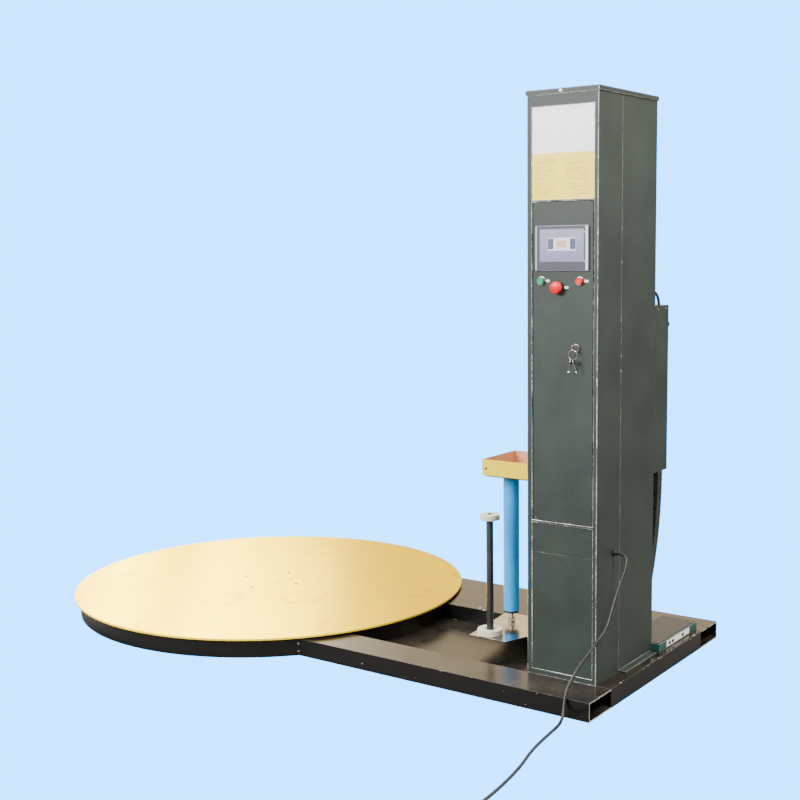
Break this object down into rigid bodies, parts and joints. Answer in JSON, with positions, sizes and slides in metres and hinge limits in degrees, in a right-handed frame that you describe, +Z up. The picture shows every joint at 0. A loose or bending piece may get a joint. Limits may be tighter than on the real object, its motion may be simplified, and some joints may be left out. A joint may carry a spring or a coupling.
{
  "type": "turntable pallet wrapper",
  "caption": "Low-profile turntable stretch wrapper: round powered disc beside a mast with operator panel, and a lifting film carriage with roller and mandrel.",
  "frame": {"origin": "the turntable's axis at floor level", "axes": "+X along the machine from the turntable towards the mast, +Y away from the operator side, +Z up"},
  "size_m": [2.6648, 2.2559, 1.998],
  "materials": {
    "base": "gloss",
    "deck": "gloss",
    "green": "satin hammertone",
    "steel": "satin",
    "zinc": "bright",
    "cast": "satin",
    "tyre": "satin",
    "label": "satin",
    "bezel": "satin",
    "screen": "gloss",
    "green_cap": "gloss",
    "red_cap": "gloss",
    "stainless": "bright",
    "yellow": "satin",
    "roller": "satin",
    "white": "satin",
    "rod": "satin",
    "black": "satin",
    "cord": "satin",
    "shoe": "satin"
  },
  "bodies": {
    "base": {"base_front_channel": "base", "base_rear_channel": "base", "base_end_crossmember": "base", "base_floor_pan": "base", "base_rear_deck": "base", "base_mast_deck": "base", "turntable_skirt": "base", "turntable_spider": "base", "wheel_brackets": "zinc", "drive_chain": "steel", "turntable_gearmotor": "cast", "mast_cabinet": "green", "mast_column": "green", "mast_cap": "green", "mast_panels": "green", "mast_front_frame": "green", "mast_label_plates": "label", "door_hinges": "zinc", "electrical_plate": "zinc", "guide_rails": "steel", "lift_chain": "steel", "lift_gearmotor": "cast", "rear_box": "green", "cable_loop": "cord", "drag_chain": "black", "foot_box": "green", "cord_gland": "black", "power_cord": "cord", "power_coil": "cord", "power_plug": "black"},
    "turntable": {"turntable_disc": "deck", "turntable_hub": "steel", "turntable_screws": "zinc"},
    "pinion": {"drive_pinion": "steel"},
    "door": {"mast_door": "green", "screen_housing": "bezel", "screen_glass": "screen", "button_collars": "stainless"},
    "start_button": {"start_button": "green_cap"},
    "stop_button": {"stop_button": "red_cap"},
    "emergency_stop": {"emergency_stop": "red_cap"},
    "lock": {"door_lock": "zinc"},
    "keys": {"hanging_keys": "zinc"},
    "top_sprocket": {"lift_top_sprocket": "steel"},
    "bottom_sprocket": {"lift_bottom_sprocket": "steel"},
    "carriage": {"carriage_lower_plate": "stainless", "carriage_frame": "green", "carriage_shoes": "shoe", "carriage_tray": "yellow", "roller_shaft": "zinc", "mandrel_rod": "rod"},
    "film_roller": {"film_roller": "roller"},
    "mandrel_disc": {"mandrel_disc": "white"},
    "mandrel_cap": {"mandrel_cap": "white"},
    "wheel_1": {"support_wheel_1": "tyre"},
    "wheel_2": {"support_wheel_2": "tyre"},
    "wheel_3": {"support_wheel_3": "tyre"},
    "wheel_4": {"support_wheel_4": "tyre"},
    "wheel_5": {"support_wheel_5": "tyre"},
    "wheel_6": {"support_wheel_6": "tyre"}
  },
  "joints": [
    {"name": "turntable_spin", "type": "hinge", "parent": "base", "child": "turntable", "pos_m": [0, 0, 0.04], "axis": [0, 0, 1], "continuous": true},
    {"name": "pinion_spin", "type": "hinge", "parent": "base", "child": "pinion", "pos_m": [0.36806, 0.2125, 0.062], "axis": [0, 0, 1], "continuous": true},
    {"name": "carriage_lift", "type": "slide", "parent": "base", "child": "carriage", "axis": [0, 0, 1], "range_m": [0, 1.3]},
    {"name": "top_sprocket_spin", "type": "hinge", "parent": "base", "child": "top_sprocket", "pos_m": [1.6, -0.072, 1.88], "axis": [0, 1, 0], "range_deg": [-30, 1900]},
    {"name": "bottom_sprocket_spin", "type": "hinge", "parent": "base", "child": "bottom_sprocket", "pos_m": [1.6, -0.072, 0.17], "axis": [0, 1, 0], "range_deg": [-30, 1900]},
    {"name": "film_roller_spin", "type": "hinge", "parent": "carriage", "child": "film_roller", "pos_m": [1.165, 0.075, 0.38], "axis": [0, 0, 1], "continuous": true},
    {"name": "mandrel_disc_spin", "type": "hinge", "parent": "carriage", "child": "mandrel_disc", "pos_m": [1.18, -0.105, 0.083], "axis": [0, 0, 1], "continuous": true},
    {"name": "mandrel_cap_lift", "type": "slide", "parent": "carriage", "child": "mandrel_cap", "axis": [0, 0, 1], "range_m": [0, 0.06]},
    {"name": "door_swing", "type": "hinge", "parent": "base", "child": "door", "pos_m": [1.523, -0.369, 1.12], "axis": [0, 0, -1], "range_deg": [0, 90]},
    {"name": "start_press", "type": "slide", "parent": "door", "child": "start_button", "axis": [0, 1, 0], "range_m": [0, 0.0035], "stiffness_N_per_m": 400},
    {"name": "stop_press", "type": "slide", "parent": "door", "child": "stop_button", "axis": [0, 1, 0], "range_m": [0, 0.0035], "stiffness_N_per_m": 400},
    {"name": "emergency_press", "type": "slide", "parent": "door", "child": "emergency_stop", "axis": [0, 1, 0], "range_m": [0, 0.0035]},
    {"name": "lock_turn", "type": "hinge", "parent": "door", "child": "lock", "pos_m": [1.676, -0.37, 1.176], "axis": [0, -1, 0], "range_deg": [0, 90]},
    {"name": "keys_swing", "type": "hinge", "parent": "lock", "child": "keys", "pos_m": [1.676, -0.396, 1.1716], "axis": [1, 0, 0], "range_deg": [-40, 8]},
    {"name": "wheel_1_spin", "type": "hinge", "parent": "base", "child": "wheel_1", "pos_m": [0.6322, 0.365, 0.0477], "axis": [0.866, 0.5, 0], "continuous": true},
    {"name": "wheel_2_spin", "type": "hinge", "parent": "base", "child": "wheel_2", "pos_m": [0, 0.73, 0.0477], "axis": [0, 1, 0], "continuous": true},
    {"name": "wheel_3_spin", "type": "hinge", "parent": "base", "child": "wheel_3", "pos_m": [-0.6322, 0.365, 0.0477], "axis": [-0.866, 0.5, 0], "continuous": true},
    {"name": "wheel_4_spin", "type": "hinge", "parent": "base", "child": "wheel_4", "pos_m": [-0.6322, -0.365, 0.0477], "axis": [-0.866, -0.5, 0], "continuous": true},
    {"name": "wheel_5_spin", "type": "hinge", "parent": "base", "child": "wheel_5", "pos_m": [0, -0.73, 0.0477], "axis": [0, -1, 0], "continuous": true},
    {"name": "wheel_6_spin", "type": "hinge", "parent": "base", "child": "wheel_6", "pos_m": [0.6322, -0.365, 0.0477], "axis": [0.866, -0.5, 0], "continuous": true}
  ],
  "couplings": [
    {"joint": "pinion_spin", "follows": "turntable_spin", "ratio": 7.4},
    {"joint": "top_sprocket_spin", "follows": "carriage_lift", "rad_per_m": 24.737},
    {"joint": "bottom_sprocket_spin", "follows": "carriage_lift", "rad_per_m": 24.737},
    {"joint": "wheel_1_spin", "follows": "turntable_spin", "ratio": -30.417},
    {"joint": "wheel_2_spin", "follows": "turntable_spin", "ratio": -30.417},
    {"joint": "wheel_3_spin", "follows": "turntable_spin", "ratio": -30.417},
    {"joint": "wheel_4_spin", "follows": "turntable_spin", "ratio": -30.417},
    {"joint": "wheel_5_spin", "follows": "turntable_spin", "ratio": -30.417},
    {"joint": "wheel_6_spin", "follows": "turntable_spin", "ratio": -30.417}
  ]
}
